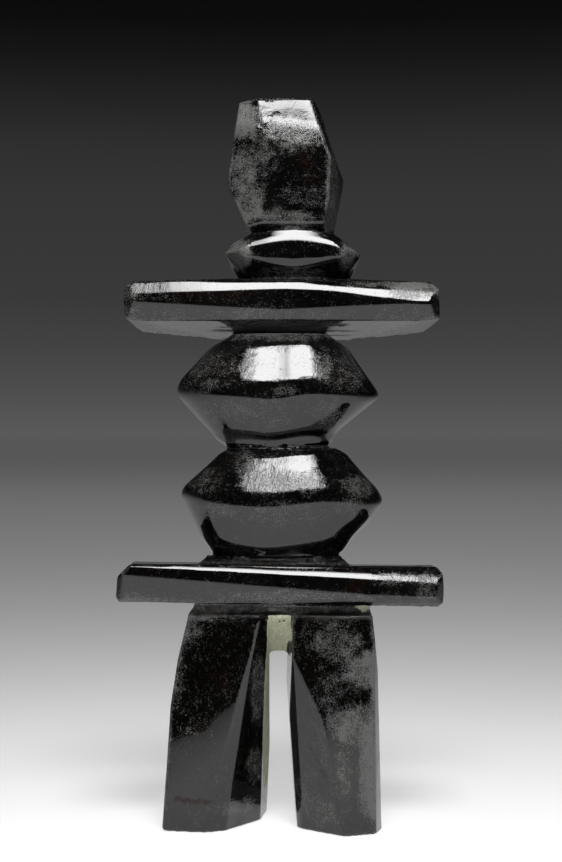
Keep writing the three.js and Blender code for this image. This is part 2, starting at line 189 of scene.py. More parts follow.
# The rows of each side of a stone that is ground round are (level, reach).
WAIST_FLARE = ((0, 0.98), (0.3, 0.93), (1, 0.86))
ROUND_STONES = {
    "waist": {
        "axis": (-3.5, 0), "base": WAIST_BASE - SINK, "size": (74, 46, 4.4), "roundness": 3,
        "left": WAIST_FLARE, "right": WAIST_FLARE, "back": WAIST_FLARE,
        "front": ((0, 0.86), (0.3, 0.8), (1, 0.76)),
    },
    "lower_barrel": {
        "axis": (0.4, 0), "base": LOWER_BARREL_BASE, "size": (94.4, 60, 51), "roundness": 2.6,
        "belt": ((-41, 3.2), (-37, 0.5), (-23, -0.9), (-7, -1.8), (9, 0), (20, 0.9), (29, 0), (38, -1.4)),
        "left": (
            (0, 0.68), (0.05, 0.7), (0.14, 0.8), (0.4, 0.945), (0.52, 1.01), (0.6, 0.985),
            (0.97, 0.6), (1, 0.5),
        ),
        "right": (
            (0, 0.53), (0.06, 0.62), (0.2, 0.73), (0.35, 0.89), (0.52, 1.01), (0.62, 0.96),
            (0.97, 0.62), (1, 0.5),
        ),
        "front": ((0, 0.6), (0.06, 0.64), (0.16, 0.8), (0.5, 1.01), (0.61, 0.985), (0.97, 0.63), (1, 0.5)),
        "back": ((0, 0.62), (0.08, 0.68), (0.16, 0.8), (0.52, 1.01), (0.62, 0.98), (0.96, 0.6), (1, 0.5)),
    },
    "upper_barrel": {
        "axis": (-1.3, 0), "base": UPPER_BARREL_BASE, "size": (94.8, 58, 53), "roundness": 2.6,
        "belt": ((-46, 0.9), (-18, 0), (-2, -1.4), (5, 0), (14, 1.4), (27, 0.4), (43, -1.4)),
        "left": (
            (0, 0.5), (0.06, 0.62), (0.12, 0.66), (0.43, 0.99), (0.5, 1.01), (0.59, 0.97),
            (0.9, 0.655), (1, 0.45),
        ),
        "right": ((0, 0.48), (0.06, 0.54), (0.14, 0.58), (0.45, 1.0), (0.5, 0.99), (0.9, 0.68), (1, 0.48)),
        "front": (
            (0, 0.55), (0.08, 0.56), (0.13, 0.665), (0.42, 1.0), (0.5, 0.995), (0.6, 0.935), (0.92, 0.6),
            (1, 0.5),
        ),
        "back": ((0, 0.56), (0.08, 0.6), (0.14, 0.7), (0.44, 1.01), (0.55, 0.98), (0.92, 0.6), (1, 0.5)),
    },
}

# How smoothly one stone runs into the next, and how far outside its box a stone is looked at
FILLET = 1.4
MARGIN = 4.0
OUTSIDE = 9.0
NEAR_SURFACE = 2.5

# The mesh: the net's cell, the most triangles, and the step of a slope's measure
CELL = 1.0
MOST_TRIANGLES = 192_000
SHORTEST_EDGE = 0.002  # shorter ones are closed up, so no two points coincide
LONGEST_MOVE = 0.6  # of a point on to the surface, as a share of the cell
TINY = 1e-9
PROBE = 0.04
SHADE_PROBE = 0.25

# How far a belt wanders up and down round a barrel, and how smoothly it does at the front
BELT_SWAY = 1.4
BELT_EASE = 5.0

# How much the left leg's front is twisted, in mm of relief for each mm across and each mm up
LEG_TWIST = 0.00085

# The tooled grooves: the middle of each, and the half heights where its marks start and are full
GROOVES = ((101.9, 3.4, 1.8), (124.6, 1.6, 0.8), (176.3, 1.6, 0.8))

# Two small pits drilled in the web's front: their places across and up, radius and depth
PITS = ((0.1, 95.5), (1.9, 95.9))
PIT_RADIUS = 0.8
PIT_DEPTH = 0.9

# The height of the arms' underside, and how far up from the soles the relief fades in
ARMS_UNDERSIDE = 229.5
RELIEF_START = 1.5


def value_noise(points, size, seed):
    """Smooth noise from -1 to 1 at each point, with features of about `size` millimetres."""
    place = points / size + (seed * 17.13 % 31.7, seed * 7.91 % 23.3, seed * 29.37 % 41.9)
    cell = np.floor(place)
    part = place - cell
    part = part * part * part * (part * (part * 6 - 15) + 10)
    cell = cell.astype(np.int64)
    total = np.zeros(len(points))
    for corner in range(8):
        step = (corner & 1, corner >> 1 & 1, corner >> 2)
        weight = np.ones(len(points))
        key = np.full(len(points), seed * 374761393, np.int64)
        for k, prime in enumerate((73856093, 19349663, 83492791)):
            weight *= part[:, k] if step[k] else 1 - part[:, k]
            key ^= (cell[:, k] + step[k]) * prime
        key = (key ^ (key >> 13)) * 1274126177 & 0xFFFFFFFF
        total += weight * ((key >> 8 & 0xFFFF) / 32767.5 - 1)
    return total


def smooth_step(low, high, value):
    """0 at low, 1 at high, and an even curve between them."""
    t = np.clip((value - low) / (high - low), 0, 1)
    return t * t * (3 - 2 * t)


def stone_planes(stone):
    """The outward normals of a ground stone's faces and their distances from its base's middle."""
    width, depth, height = stone["size"]
    normals, distances = [(0, 0, -1), (0, 0, 1)], [0, height]
    for turn, tilt, reach, level in stone["faces"]:
        turn, tilt = math.radians(turn), math.radians(tilt)
        side = (math.sin(turn), -math.cos(turn))
        half = reach * math.hypot(side[0] * width / 2, side[1] * depth / 2)
        normals.append((side[0] * math.cos(tilt), side[1] * math.cos(tilt), math.sin(tilt)))
        distances.append(math.cos(tilt) * half + math.sin(tilt) * level * height)
    return np.array(normals, float), np.array(distances, float)


def meeting_faces(normals, distances, size):
    """Pairs of faces that meet in an edge, apart from the base's, found on a coarse grid."""
    width, depth, height = size
    steps = [np.arange(-s / 2 - 1, s / 2 + 1, 1.3) for s in (width, depth)]
    steps.append(np.arange(0.4, height + 1, 1.3))
    points = np.stack(np.meshgrid(*steps, indexing="ij"), -1).reshape(-1, 3)
    out = points @ normals.T - distances
    order = np.argsort(out, 1)[:, -2:]
    top = np.take_along_axis(out, order, 1)
    close = (np.abs(top[:, 1]) < 1.2) & (top[:, 1] - top[:, 0] < 0.5)
    return sorted({(min(a, b), max(a, b)) for a, b in order[close].tolist() if min(a, b) > 0})


def ground_value(stone, points):
    """How far outside a ground stone each point is, its edges eased."""
    if "lens" in stone:
        middle, gain = stone["lens"]
        share = gain * (2 * points[:, 0] / stone["size"][0]) ** 2 * smooth_step(-3, -12, points[:, 1])
        points = np.stack((points[:, 0], points[:, 1], middle + (points[:, 2] - middle) * (1 + share)), 1)
    out = points @ stone["normals"].T - stone["distances"]
    value = out.max(1)
    near = np.abs(value) < NEAR_SURFACE
    out = out[near].T
    best = value[near]
    for i, j, band in stone["eased"]:
        share = np.clip(0.5 + (out[j] - out[i]) / (2 * band), 0, 1)
        best = np.maximum(best, out[i] + (out[j] - out[i]) * share + band * share * (1 - share))
    value[near] = best
    return value


def eased_line(rows, level, width):
    """The value at each level of a broken line whose corners are eased over `width` each way."""
    ends, values = zip(*rows)
    steps = np.linspace(-1, 1, 9)
    return sum(np.interp(level + step * width, ends, values) for step in steps) / len(steps)


def round_value(stone, points):
    """How far outside a stone that is ground round each point is, measured level."""
    width, depth, height = stone["size"]
    x, y, z = points.T
    rise = 0
    if "belt" in stone:
        front = smooth_step(0.25, -0.35, y / depth)
        rise = eased_line(stone["belt"], x, BELT_EASE) * front
        rise = rise + BELT_SWAY * value_noise(points, 26, 5) * (1 - front)
    level = (z - rise) / height
    width_share = CRISP_EDGE / height
    sides = {k: eased_line(stone[k], level, width_share) for k in ("left", "right", "front", "back")}
    reach_x = np.where(x < 0, sides["left"], sides["right"]) * width / 2
    reach_y = np.where(y < 0, sides["front"], sides["back"]) * depth / 2
    power = stone["roundness"]
    grown = (np.abs(x) / reach_x) ** power + (np.abs(y) / reach_y) ** power
    grown = np.maximum(grown, 1e-6) ** (1 / power)
    value = np.hypot(x, y) * (1 - 1 / grown)
    return np.maximum(value, np.maximum(-z, z - height))


def prepare_stones():
    """Every stone with what its value is worked out from, in the order in which they join."""
    stones = []
    for name, stone in GROUND_STONES.items():
        normals, distances = stone_planes(stone)
        eased = []
        for i, j in meeting_faces(normals, distances, stone["size"]):
            bend = float(np.linalg.norm(normals[i] - normals[j]))
            blunt = 1 + BLUNT_EASE * max(0.0, 1 - bend / BLUNT_BEND)
            edge = TOP_EDGE if i == 1 and name in COVERED_STONES else stone["edge"]
            eased.append((i, j, edge * bend * blunt))
        stones.append({**stone, "name": name, "normals": normals, "distances": distances,
                       "eased": eased, "value": ground_value})
    for name, stone in ROUND_STONES.items():
        stones.append({**stone, "name": name, "value": round_value})
    for stone in stones:
        stone.setdefault("fillet", FILLET)
        width, depth, height = stone["size"]
        at = np.array([stone["axis"][0] + FIGURE_SHIFT[0], stone["axis"][1] + FIGURE_SHIFT[1],
                       stone["base"]])
        stone["at"] = at
        stone["low"] = at - (width * 0.53 + MARGIN, depth * 0.64 + MARGIN, MARGIN)
        stone["high"] = at + (width * 0.53 + MARGIN, depth * 0.64 + MARGIN, height + MARGIN)
    return stones


def join_values(one, other, fillet):
    """The smaller of two values, with a small fillet where they meet."""
    blend = np.maximum(fillet - np.abs(one - other), 0) / fillet
    return np.minimum(one, other) - blend * blend * fillet / 4


def figure_value(stones, points):
    """How far outside the figure each point is, before any relief."""
    total = np.full(len(points), OUTSIDE)
    for stone in stones:
        near = ((points > stone["low"]) & (points < stone["high"])).all(1)
        if near.any():
            value = stone["value"](stone, points[near] - stone["at"])
            total[near] = join_values(total[near], value, stone["fillet"])
    return total


def slope(value_of, points, probe):
    """The value at each point and its slope there."""
    value = value_of(points)
    rise = np.empty_like(points)
    for k in range(3):
        step = np.zeros(3)
        step[k] = probe
        rise[:, k] = (value_of(points + step) - value_of(points - step)) / (2 * probe)
    return value, rise


def unit(vectors):
    """Each vector at a length of 1."""
    return vectors / np.maximum(np.linalg.norm(vectors, axis=1), TINY)[:, None]


def field_grid(stones, cell):
    """The figure's value on a grid, with the grid's first corner."""
    low = np.array([-78.0, -34.0, -2.5]) + cell * 0.37
    counts = [int(n / cell) for n in (156, 68, 345)]
    grid = np.full(counts, OUTSIDE)
    for stone in stones:
        first = np.maximum(np.floor((stone["low"] - low) / cell).astype(int), 0)
        last = np.minimum(np.ceil((stone["high"] - low) / cell).astype(int), counts)
        axes = [low[k] + cell * np.arange(first[k], last[k]) for k in range(3)]
        points = np.stack(np.meshgrid(*axes, indexing="ij"), -1).reshape(-1, 3)
        value = stone["value"](stone, points - stone["at"])
        part = tuple(slice(a, b) for a, b in zip(first, last))
        grid[part] = join_values(grid[part], value.reshape(grid[part].shape), stone["fillet"])
    return grid, low


def surface_net(grid, low, cell):
    """Corners and four-sided faces of the grid's zero surface, one corner in each cell it crosses."""
    inside = grid < 0
    sizes = [n - 1 for n in grid.shape]
    corners = [(i, j, k) for i in (0, 1) for j in (0, 1) for k in (0, 1)]

    def shifted(array, corner):
        return array[tuple(slice(c, c + n) for c, n in zip(corner, sizes))]

    filled = sum(shifted(inside, c).astype(np.int8) for c in corners)
    cells = np.argwhere((filled > 0) & (filled < 8))
    values = {c: grid[tuple((cells + c).T)] for c in corners}
    total, count = np.zeros((len(cells), 3)), np.zeros(len(cells))
    for a in corners:
        for axis in range(3):
            if a[axis]:
                continue
            b = tuple(1 if k == axis else a[k] for k in range(3))
            crossed = (values[a] < 0) != (values[b] < 0)
            share = values[a] / np.where(crossed, values[a] - values[b], 1)
            for k in range(3):
                total[:, k] += np.where(crossed, share if k == axis else a[k], 0)
            count += crossed
    points = low + cell * (cells + total / count[:, None])

    number = np.full(sizes, -1, np.int64)
    number[tuple(cells.T)] = np.arange(len(cells))
    faces = []
    for axis in range(3):
        u, v = (axis + 1) % 3, (axis + 2) % 3
        here = [slice(1, n) for n in sizes]
        here[axis] = slice(0, sizes[axis])
        ahead = list(here)
        ahead[axis] = slice(1, sizes[axis] + 1)
        first, second = inside[tuple(here)], inside[tuple(ahead)]
        edges = np.argwhere(first != second)
        leaving = first[tuple(edges.T)]
        start = edges + [int(s.start) for s in here]
        ring = []
        for du, dv in ((-1, -1), (0, -1), (0, 0), (-1, 0)):
            at = start.copy()
            at[:, u] += du
            at[:, v] += dv
            ring.append(number[tuple(at.T)])
        quads = np.stack(ring, 1)
        quads[~leaving] = quads[~leaving][:, ::-1]
        faces.append(quads)
    return points, np.concatenate(faces)


def drill_pits(points):
    """1 in the middle of a pit in the web's front, 0 away from it."""
    x, y, z = points.T
    share = np.zeros(len(points))
    for middle_x, middle_z in PITS:
        share = np.maximum(share, np.exp(-((x - middle_x) ** 2 + (z - middle_z) ** 2) / PIT_RADIUS ** 2))
    return share * smooth_step(-8, -12, y)


def relief(points):
    """How far the finished surface stands out from the ground stones, mostly inwards, in mm."""
    x, y, z = points.T
    calm = 1 - 0.6 * smooth_step(104, 98, z)
    wave = calm * (0.20 * (value_noise(points, 27, 11) - 0.4) + 0.05 * (value_noise(points, 11, 12) - 0.4))
    twist = smooth_step(2, -3, x) * smooth_step(-8, -14, y) * smooth_step(101, 96, z)
    wave = wave + LEG_TWIST * (x + 30) * (z - 45) * twist
    groove = np.maximum.reduce([smooth_step(start, full, np.abs(z - at)) for at, start, full in GROOVES])
    tooled = groove * (0.22 * (value_noise(points, 2.1, 21) - 1) + 0.2 * (value_noise(points, 5, 22) - 1))
    ledge = smooth_step(16, 21, y) * smooth_step(6, 3, np.abs(z - 228.5))
    chips = value_noise(points * (1, 0.5, 1), 5.5, 31) + 0.5 * value_noise(points, 2.4, 32)
    chipped = -1.1 * ledge * smooth_step(-0.1, 0.9, chips)
    pits = -PIT_DEPTH * drill_pits(points)
    return (wave + tooled + chipped + pits) * smooth_step(0.0, RELIEF_START, z)


# Where the front is frosted: a row is (middle x, middle z, half width, half height, amount).
FRONT_FROST = (
    # Head
    (-17, 328, 7, 9, 0.9), (-18, 304, 6, 12, 0.6), (-15, 287, 7, 9, 0.6), (6, 321, 16, 7, 0.55),
    (2, 282, 16, 4, 0.65), (6, 314, 10, 3, 0.25), (-4, 308, 4, 7, 0.2), (12, 292, 11, 6, 0.3),
    (24, 300, 3, 20, 0.4), (-8, 315, 5, 8, 0.42), (-10, 298, 4, 14, 0.3),
    # Neck stone
    (-19, 266, 6, 9, 0.9), (31, 265, 5, 8, 0.8), (7, 256, 21, 3, 0.4),
    # Arm slab
    (0, 237, 34, 3, 0.26),
    (-70, 244, 5, 9, 0.35), (-60, 246, 12, 3, 0.3), (-52, 237, 18, 4, 0.22), (62, 248, 13, 4, 0.8),
    (48, 251, 18, 2, 0.55), (55, 237, 16, 4, 0.2), (-15, 239, 8, 4, 0.2),
    (-50, 229, 22, 4, 0.9), (52, 229, 22, 4, 0.9), (0, 229, 28, 4, 0.6),
    # Upper barrel
    (-6, 191, 14, 8, 0.3),
    (-32, 213, 16, 9, 0.26), (31, 211, 12, 9, 0.3), (20, 215, 4, 8, 0.35), (3, 202, 5, 3, 0.5),
    (-29, 192, 12, 6, 0.3), (22, 193, 9, 6, 0.4), (-14, 213, 4, 8, 0.35), (-38, 204, 10, 4, 0.2),
    # Lower barrel
    (0, 146, 22, 6, 0.3),
    (-34, 160, 8, 6, 0.3), (36, 158, 8, 5, 0.5), (-10, 160, 8, 6, 0.5), (3, 160, 7, 4, 0.4),
    (14, 160, 7, 5, 0.5), (-16, 170, 5, 6, 0.42), (-30, 147, 9, 5, 0.35), (32, 149, 8, 4, 0.35),
    (6, 171, 14, 3, 0.2), (-26, 133, 10, 4, 0.15),
    # Hip slab
    (-66, 107, 9, 5, 0.35), (50, 116, 12, 3, 0.3), (68, 113, 5, 7, 0.35), (0, 108, 40, 3, 0.42),
    (60, 107, 20, 3, 0.2),
    # Left leg
    (-38, 30, 14, 22, 0.1), (-52, 60, 2, 40, 0.2),
    (-41, 91, 5, 7, 0.45), (-47, 72, 3, 18, 0.3), (-42, 46, 7, 2, 0.25), (-35, 9, 12, 6, 0.1),
    (-10, 66, 4, 20, 0.55), (-11, 28, 4, 10, 0.5), (-18, 10, 8, 4, 0.6), (-25, 97, 15, 2, 0.3),
    # Right leg
    (14, 36, 7, 20, 0.15), (24, 30, 6, 26, 0.2), (43, 45, 3, 45, 0.55),
    (27, 87, 12, 11, 0.5), (36, 74, 9, 8, 0.75), (22, 66, 9, 9, 0.3), (30, 50, 10, 8, 0.42),
    (30, 30, 4, 17, 0.5), (40, 28, 5, 20, 0.85), (18, 9, 11, 7, 0.3), (9, 18, 4, 7, 0.3),
    (36, 50, 8, 8, 0.4), (12, 88, 6, 6, 0.2),
)
# Where the polish is brushed, in rows of the same kind
BRUSHED = (
    (2, 160, 22, 6, 1.6), (-14, 169, 8, 7, 1.0), (4, 322, 16, 8, 1.0), (-16, 326, 9, 10, 1.3),
    (60, 248, 14, 4, 0.6), (-14, 213, 5, 9, 0.9), (20, 213, 5, 9, 1.0), (0, 206, 18, 2, 0.6),
    (60, 114, 18, 6, 1.0), (-60, 248, 14, 5, 0.25), (4, 171, 16, 3, 0.5), (0, 222, 18, 2, 0.5),
)
# The pale chips above the right leg, in rows of the same kind
CHIPS = ((32, 103, 4, 2, 0.25), (39, 102, 3, 2, 0.5), (36, 103, 2, 1, 0.3))

# Thin brown seams in the front: the places across and up that each runs through
SEAMS = (((-48, 15), (-39, 14), (-30, 14), (-26, 21)), ((14, 39), (22, 24)))

# The middle of the raw web, and how deep under a ridge its wear and painted rim highlight are judged
WEB_MIDDLE = -0.4
WEAR_AND_SHEEN_REACH = 1.5


def under_arms(points, normals):
    """1 on the arms' underside."""
    near = smooth_step(4.5, 3.5, np.abs(points[:, 2] - ARMS_UNDERSIDE))
    return near * smooth_step(-0.2, -0.6, normals[:, 2])


def raw_share(points, normals):
    """1 on the raw stone between the legs, less on chips and streaks, 0 on polished stone."""
    x, y, z = points.T
    ragged = 0.5 * value_noise(points, 5, 41) + 0.3 * value_noise(points, 2, 42)
    reach = 5.5 + 3 * smooth_step(-15, -11, y) * smooth_step(-0.35, -0.1, normals[:, 1])
    crotch = smooth_step(0.5, -0.5, np.abs(x - WEB_MIDDLE) + 0.4 * ragged - reach)
    right = 12 * smooth_step(2, 4, x)
    crotch *= smooth_step(70, 78, z + 2 * ragged - right)
    crotch *= smooth_step(99.4, 98.6, z + 0.012 * (x - WEB_MIDDLE) ** 2)
    crotch *= smooth_step(-18.5, -17.0, y + 0.3 * ragged) * smooth_step(26, 23, y)
    wall = smooth_step(0.93, 0.97, normals[:, 0]) * smooth_step(-13, -11, x) * smooth_step(0, -2, x)
    wall *= smooth_step(24, 20, y + ragged) * smooth_step(101, 99, z)
    wall *= smooth_step(-19, -8, y + 2 * ragged - 22 * smooth_step(60, 5, z))
    wall *= smooth_step(8, 20, z + ragged)
    chips = placed_share(points, CHIPS) * smooth_step(-10, -14, y)
    streaks = smooth_step(-0.3, 0.4, value_noise(points * (0.1, 1, 1), 2.6, 44))
    middle = smooth_step(40, 30, np.abs(x - 1) + 4 * ragged)
    under = under_arms(points, normals) * (smooth_step(8, -4, y) * middle * streaks * 0.16)
    return np.maximum.reduce((crotch, wall, chips, under)) * (1 - drill_pits(points))


def tooled_share(points, normals):
    """1 where the stone is rough from the tool: in the grooves, under the arms, at the hip's end."""
    x, y, z = points.T
    ragged = 0.5 * value_noise(points * (0.4, 0.4, 1), 2.5, 61)
    share = smooth_step(3.9, 2.9, np.abs(z - 101.4) + ragged) * smooth_step(-0.5, -0.2, normals[:, 2])
    share = np.maximum(share, smooth_step(1.9, 1.0, np.abs(z - 124.0) + 0.5 * ragged))
    end = smooth_step(58, 64, x + 5 * value_noise(points, 4, 63)) * smooth_step(11, 9, np.abs(z - 114))
    share = np.maximum(share, 0.6 * end * smooth_step(-0.1, 0.5, value_noise(points, 1.4, 64)))
    streaked = value_noise(points * (0.1, 1, 1), 3.5, 62)
    under = under_arms(points, normals) * smooth_step(38, 28, np.abs(x - 1) + 6 * streaked + 3 * ragged)
    return np.maximum(share, under * smooth_step(0.1, -0.3, value_noise(points * (0.1, 1, 1), 3.0, 65)))


def seam_share(points):
    """1 along the thin brown seams in the legs' fronts."""
    x, y, z = points.T
    share = np.zeros(len(points))
    for route in SEAMS:
        for (x0, z0), (x1, z1) in zip(route, route[1:]):
            along = ((x - x0) * (x1 - x0) + (z - z0) * (z1 - z0)) / ((x1 - x0) ** 2 + (z1 - z0) ** 2)
            along = np.clip(along, 0, 1)
            away = np.hypot(x - x0 - along * (x1 - x0), z - z0 - along * (z1 - z0))
            share = np.maximum(share, smooth_step(1.1, 0.3, away + 0.3 * value_noise(points, 3, 71)))
    return share * smooth_step(-8, -12, y)


def worn_and_rim_sheen_share(value_of, points, normals):
    """1 on sharp ridges, found from how much nearer the surface is just under them. The frosting is raised
    there, lighter: partly real wear, partly a painted highlight along the arrises.
    """
    under = -value_of(points - WEAR_AND_SHEEN_REACH * normals) / WEAR_AND_SHEEN_REACH
    return smooth_step(0.93, 0.80, under)


def placed_share(points, rows):
    """The sum of the rows' patches at each point, their outlines ragged."""
    x, _, z = points.T
    ragged = 0.24 * value_noise(points, 6, 53) + 0.12 * value_noise(points, 2.5, 54)
    share = np.zeros(len(points))
    for middle_x, middle_z, wide, high, amount in rows:
        away = np.hypot((x - middle_x) / wide, (z - middle_z) / high)
        share += amount * smooth_step(1.35, 0.55, away + ragged)
    return share


def frost_share(points):
    """How frosted the polish is, from 0 to 1: by chance all round, and by the rows at the front."""
    chance = 0.40 + 0.32 * value_noise(points, 19, 51) + 0.14 * value_noise(points, 7, 52)
    front = smooth_step(6, -4, points[:, 1])
    placed = placed_share(points, FRONT_FROST)
    return np.clip(chance * (1 - front) + placed * front, 0, 1)


def shaped_mesh(name, cell):
    """The figure's mesh, in metres, with its shading normals and the masks of its finishes."""
    stones = prepare_stones()
    grid, low = field_grid(stones, cell)
    points, faces = surface_net(grid, low, cell)
    for _ in range(2):
        value, rise = slope(lambda p: figure_value(stones, p), points, PROBE)
        steep = np.maximum((rise * rise).sum(1), 0.25)
        move = rise * (value / steep)[:, None]
        length = np.maximum(np.linalg.norm(move, axis=1), TINY)
        points = points - move * np.minimum(1, LONGEST_MOVE * cell / length)[:, None]
    points = points + unit(rise) * relief(points)[:, None]
    points = np.clip(points, np.array(CAD_BOX[0]) / MM, np.array(CAD_BOX[1]) / MM)

    mesh = bpy.data.meshes.new(name)
    mesh.from_pydata(points.tolist(), [], faces.tolist())
    piece = bpy.data.objects.new(name, mesh)
    bpy.context.scene.collection.objects.link(piece)
    triangles = 2 * len(faces)
    if triangles > MOST_TRIANGLES:
        thin = piece.modifiers.new("thin_out", "DECIMATE")
        thin.ratio = MOST_TRIANGLES / triangles
        thin.use_collapse_triangulate = True
        evaluated = piece.evaluated_get(bpy.context.evaluated_depsgraph_get())
        mesh = bpy.data.meshes.new_from_object(evaluated)
        piece.modifiers.clear()
        old, piece.data = piece.data, mesh
        bpy.data.meshes.remove(old)
        mesh.name = name

    mend = bmesh.new()
    mend.from_mesh(mesh)
    bmesh.ops.dissolve_degenerate(mend, dist=SHORTEST_EDGE, edges=mend.edges)
    mend.to_mesh(mesh)
    mend.free()

    places = np.empty(len(mesh.vertices) * 3)
    mesh.vertices.foreach_get("co", places)
    points = places.reshape(-1, 3)

    def finished(p):
        return figure_value(stones, p) - relief(p)

    _, rise = slope(finished, points, SHADE_PROBE)
    normals = unit(rise)
    mesh.vertices.foreach_set("co", (points * MM).ravel())
    mesh.shade_smooth()
    mesh.normals_split_custom_set_from_vertices(normals.tolist())
    masks = {
        "raw": raw_share(points, normals),
        "frost": frost_share(points),
        "brushed": placed_share(points, BRUSHED) * smooth_step(-4, -8, points[:, 1]),
        "tooled": tooled_share(points, normals),
        "worn_and_rim_sheen": worn_and_rim_sheen_share(finished, points, normals),
        "seam": seam_share(points),
    }
    for mask, values in masks.items():
        mesh.attributes.new(mask, "FLOAT", "POINT").data.foreach_set("value", values.astype(np.float32))
    mesh.update()
    return piece


def place_node(tree, kind, inputs=None, **settings):
    """A node with its settings, its inputs set to values or joined to other nodes' outputs."""
    node = tree.nodes.new(kind)
    for key, value in settings.items():
        setattr(node, key, value)
    for key, value in (inputs or {}).items():
        if isinstance(value, bpy.types.NodeSocket):
            tree.links.new(value, node.inputs[key])
        else:
            node.inputs[key].default_value = value
    return node


def sum_up(tree, operation, one, other=0.0, third=0.0, clamp=False):
    """The output of a Math node."""
    inputs = {0: one, 1: other, 2: third}
    return place_node(tree, "ShaderNodeMath", inputs, operation=operation, use_clamp=clamp).outputs[0]


def grain(tree, vector, scale, detail=3.0, rough=0.6):
    """A Noise node's value, from 0 to 1 about 0.5."""
    inputs = {"Vector": vector, "Scale": scale, "Detail": detail, "Roughness": rough}
    return place_node(tree, "ShaderNodeTexNoise", inputs).outputs["Fac"]


def ramp(tree, value, low, high, to_low=0.0, to_high=1.0):
    """A value brought from one range to another, and kept inside it."""
    inputs = {"Value": value, "From Min": low, "From Max": high, "To Min": to_low, "To Max": to_high}
    return place_node(tree, "ShaderNodeMapRange", inputs, clamp=True).outputs[0]


def stretched(tree, vector, shares):
    """A vector with each of its parts multiplied."""
    node = place_node(tree, "ShaderNodeVectorMath", {0: vector, 1: shares}, operation="MULTIPLY")
    return node.outputs[0]


def blend_colours(tree, share, one, other):
    """One colour turning into the other by a share from 0 to 1."""
    node = place_node(tree, "ShaderNodeMix", data_type="RGBA")
    for socket, value in zip((node.inputs[0], node.inputs[6], node.inputs[7]), (share, one, other)):
        if isinstance(value, bpy.types.NodeSocket):
            tree.links.new(value, socket)
        else:
            socket.default_value = value
    return node.outputs[2]


def new_group(name, inputs, outputs):
    """A shader node group with named inputs and outputs, and its two end nodes."""
    tree = bpy.data.node_groups.new(name, "ShaderNodeTree")
    for label, kind, value in inputs:
        socket = tree.interface.new_socket(label, in_out="INPUT", socket_type=kind)
        if value is not None:
            socket.default_value = value
    for label, kind in outputs:
        tree.interface.new_socket(label, in_out="OUTPUT", socket_type=kind)
    return tree, tree.nodes.new("NodeGroupInput").outputs, tree.nodes.new("NodeGroupOutput").inputs


def frost_group():
    """Speckled frosting: a mask whose cover follows Amount."""
    tree, given, made = new_group(
        "stone_frosting",
        [("Vector", "NodeSocketVector", None), ("Amount", "NodeSocketFloat", 0.5),
         ("Patch Scale", "NodeSocketFloat", 160.0), ("Grain Scale", "NodeSocketFloat", 900.0),
         ("Sharpness", "NodeSocketFloat", 6.0), ("Upright", "NodeSocketFloat", 0.5)],
        [("Mask", "NodeSocketFloat")],
    )
    patch = grain(tree, given["Vector"], given["Patch Scale"], 4.0, 0.65)
    speckle = grain(tree, given["Vector"], given["Grain Scale"], 2.0, 0.7)
    brushed = []
    for stretch in ((0.12, 0.4, 1.0), (1.0, 1.0, 0.12)):
        brushed.append(grain(tree, stretched(tree, given["Vector"], stretch), given["Grain Scale"], 1.0, 0.5))
    streak = place_node(tree, "ShaderNodeMix", {0: given["Upright"], 2: brushed[0], 3: brushed[1]}).outputs[0]
    both = sum_up(tree, "MULTIPLY_ADD", patch, 0.3, sum_up(tree, "MULTIPLY", speckle, 0.58))
    both = sum_up(tree, "MULTIPLY_ADD", streak, 0.12, both)
    level = sum_up(tree, "MULTIPLY", sum_up(tree, "SUBTRACT", both, 0.5), given["Sharpness"])
    cover = sum_up(tree, "MULTIPLY_ADD", given["Amount"], 1.5, -0.4)
    tree.links.new(sum_up(tree, "ADD", level, cover, clamp=True), made["Mask"])
    return tree


def scratch_group():
    """Long fine scratches that lie at an angle on the front."""
    tree, given, made = new_group(
        "stone_scratches",
        [("Vector", "NodeSocketVector", None), ("Lean", "NodeSocketFloat", 0.5),
         ("Scale", "NodeSocketFloat", 900.0), ("Rarity", "NodeSocketFloat", 0.66)],
        [("Mask", "NodeSocketFloat")],
    )
    turned = place_node(tree, "ShaderNodeVectorRotate",
                        {"Vector": given["Vector"], "Angle": given["Lean"]}, rotation_type="Y_AXIS")
    lines = grain(tree, stretched(tree, turned.outputs[0], (1.0, 0.3, 0.045)), given["Scale"], 2.0, 0.5)
    above = sum_up(tree, "SUBTRACT", lines, given["Rarity"])
    tree.links.new(sum_up(tree, "MULTIPLY", above, 14.0, clamp=True), made["Mask"])
    return tree


def fleck_group():
    """Small light grains of another mineral, here and there."""
    tree, given, made = new_group(
        "mineral_flecks",
        [("Vector", "NodeSocketVector", None), ("Scale", "NodeSocketFloat", 420.0),
         ("Size", "NodeSocketFloat", 0.2), ("Share", "NodeSocketFloat", 0.12)],
        [("Mask", "NodeSocketFloat")],
    )
    cells = place_node(tree, "ShaderNodeTexVoronoi", {"Vector": given["Vector"], "Scale": given["Scale"]})
    size = sum_up(tree, "SUBTRACT", given["Size"], cells.outputs["Distance"])
    near = sum_up(tree, "MULTIPLY", size, 12.0, clamp=True)
    chosen = place_node(tree, "ShaderNodeSeparateColor", {"Color": cells.outputs["Color"]}).outputs[0]
    kept = sum_up(tree, "LESS_THAN", chosen, given["Share"])
    tree.links.new(sum_up(tree, "MULTIPLY", near, kept), made["Mask"])
    return tree


def use_group(tree, group, **values):
    """The first output of a group placed in a material."""
    node = place_node(tree, "ShaderNodeGroup", node_tree=group)
    for label, value in values.items():
        socket = node.inputs[label.replace("_", " ").title()]
        if isinstance(value, bpy.types.NodeSocket):
            tree.links.new(value, socket)
        else:
            socket.default_value = value
    return node.outputs[0]


def colour(rgb):
    """A colour as a socket takes it."""
    return (*rgb, 1.0)


def new_material(name):
    """A material and its empty tree."""
    material = bpy.data.materials.new(name)
    material.use_nodes = True
    material.node_tree.nodes.clear()
    return material, material.node_tree


def join_surface(tree, shader, kind="ShaderNodeOutputMaterial"):
    """Join a shader to the tree's output."""
    tree.links.new(shader.outputs[0], place_node(tree, kind).inputs["Surface"])


